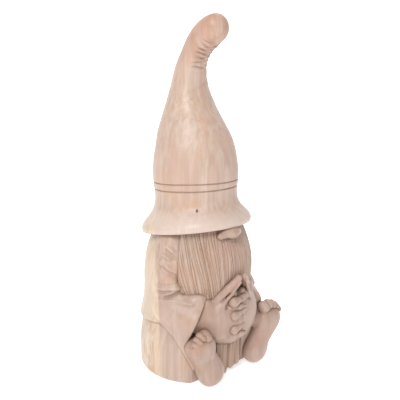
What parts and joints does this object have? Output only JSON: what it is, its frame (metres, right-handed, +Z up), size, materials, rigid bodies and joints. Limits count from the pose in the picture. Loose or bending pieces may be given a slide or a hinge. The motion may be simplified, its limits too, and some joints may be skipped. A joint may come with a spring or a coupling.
{
  "type": "tomte gnome figurine",
  "caption": "Carved wooden tomte that sits with clasped hands and bare feet forward, under a tall flared hat with a curled tip; a statuette that stands on a shelf.",
  "frame": {"origin": "on the flat base, under the axis of the hat's band", "axes": "+Z up, -Y to the gnome's front, +X to the gnome's left"},
  "size_m": [0.1196, 0.1077, 0.3003],
  "materials": {
    "hat_wood": "pale carved hardwood, fine-sanded, thin satin wax",
    "body_wood": "pale carved hardwood with a cream sapwood strip, thin satin wax",
    "beard_wood": "pale carved hardwood, combed with a V-tool, darker in the grooves",
    "skin_wood": "pale carved hardwood, polished smooth, thin satin wax"
  },
  "bodies": {
    "root": {"hat": "hat_wood", "head": "body_wood", "nose": "skin_wood", "beard": "beard_wood", "beard_end": "beard_wood", "coat": "body_wood", "sleeve_right": "body_wood", "sleeve_left": "body_wood", "hand_right": "skin_wood", "hand_left": "skin_wood", "trousers": "body_wood", "foot_right": "skin_wood", "foot_left": "skin_wood"}
  },
  "joints": []
}
